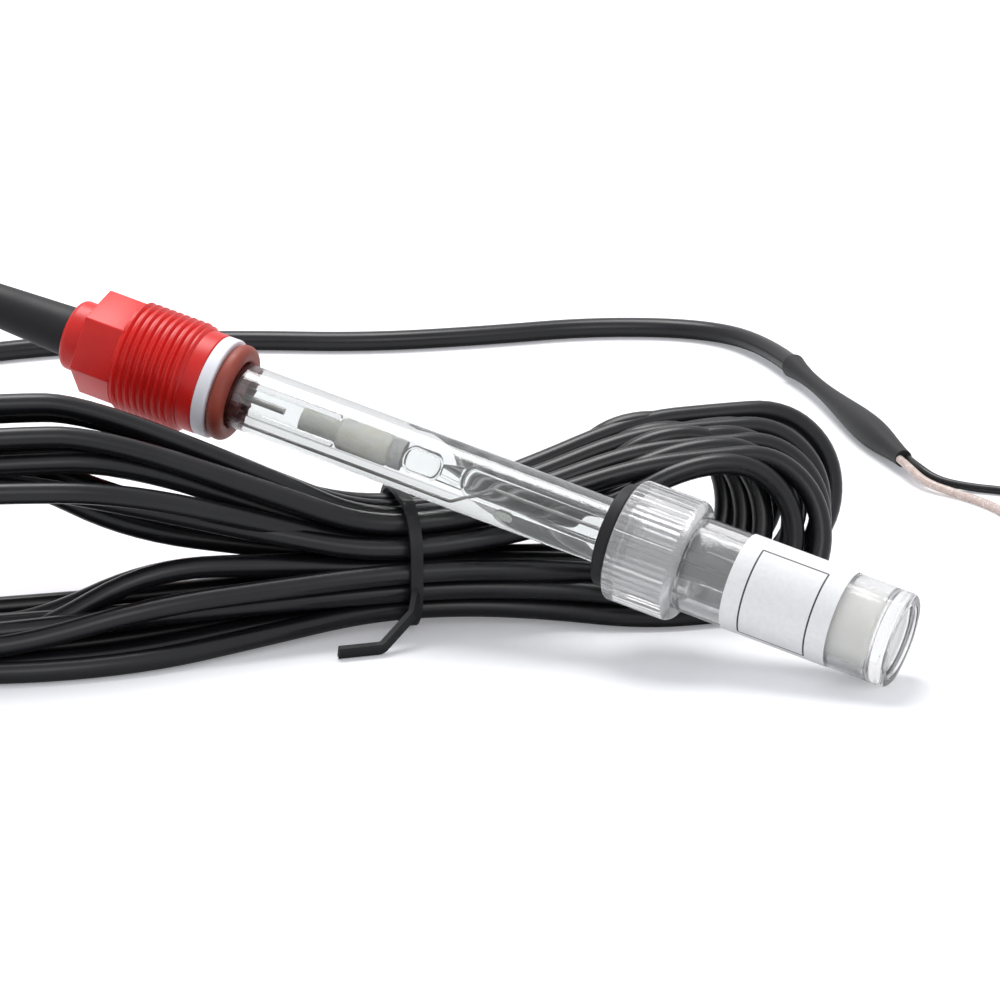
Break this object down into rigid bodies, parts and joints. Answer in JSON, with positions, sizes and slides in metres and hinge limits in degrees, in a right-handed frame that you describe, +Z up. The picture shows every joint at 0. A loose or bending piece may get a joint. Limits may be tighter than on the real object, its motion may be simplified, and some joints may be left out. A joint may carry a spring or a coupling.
{
  "type": "ph electrode",
  "caption": "Glass combination pH electrode with a screw-in head, a screw-collar wetting bottle on its tip and a hanked lead with bare core ends.",
  "frame": {"origin": "on the surface that the probe and its hank lie on, under the middle of the probe", "axes": "+X along the probe towards its sensing tip, +Z up; the probe slopes 13.5 degrees down towards +X"},
  "size_m": [0.2543, 0.2722, 0.0621],
  "materials": {
    "red_plastic": "moulded, satin",
    "white_plastic": "smooth, slightly waxy",
    "brown_silicone": "smooth",
    "clear_glass": "polished",
    "ceramic": "porous",
    "silver_wire": "drawn",
    "cream_cotton": "wet fibres",
    "grey_felt": "felted",
    "brown_resin": "cast, uneven",
    "black_rubber": "moulded, matt",
    "clear_plastic": "moulded clear plastic",
    "white_film": "thin printed film",
    "white_sponge": "wet foam",
    "black_jacket": "extruded, semi-gloss",
    "black_sleeve": "shrunk tube",
    "clear_insulation": "extruded, translucent",
    "tinned_copper": "stranded, tinned"
  },
  "bodies": {
    "root": {"threaded_head": "red_plastic", "thrust_ring": "white_plastic", "o_ring": "brown_silicone", "glass_shaft": "clear_glass", "ceramic_junction": "ceramic", "sensing_stem": "clear_glass", "measuring_wire": "silver_wire", "reference_tube": "clear_glass", "reference_wire": "silver_wire", "cotton_plug": "cream_cotton", "felt_spacer": "grey_felt", "glass_bead": "clear_glass", "glass_seat": "clear_glass", "potting_plug": "brown_resin", "cable_boot": "black_rubber", "cord_hank": "black_jacket", "cable_tie": "black_rubber", "cord_lead": "black_jacket", "cord_tail": "black_jacket", "heat_shrink": "black_sleeve", "clear_core_wire": "clear_insulation", "black_core_wire": "black_jacket", "clear_wire_tip": "tinned_copper", "black_wire_tip": "tinned_copper"},
    "seal": {"rubber_seal": "black_rubber"},
    "collar": {"knurled_collar": "clear_plastic"},
    "bottle": {"storage_bottle": "clear_plastic", "bottle_label": "white_film", "wet_sponge": "white_sponge"}
  },
  "joints": [
    {"name": "cap_pull_off", "type": "slide", "parent": "root", "child": "seal", "axis": [0.9724, 0, -0.2334], "range_m": [0, 0.048]},
    {"name": "collar_turn", "type": "hinge", "parent": "seal", "child": "collar", "pos_m": [0.05473, 0, 0.01929], "axis": [-0.9724, 0, 0.2334], "range_deg": [0, 720]},
    {"name": "bottle_unscrew", "type": "slide", "parent": "seal", "child": "bottle", "axis": [0.9724, 0, -0.2334], "range_m": [0, 0.00605]}
  ],
  "couplings": [
    {"joint": "bottle_unscrew", "follows": "collar_turn", "m_per_rad": 0.00047746}
  ]
}
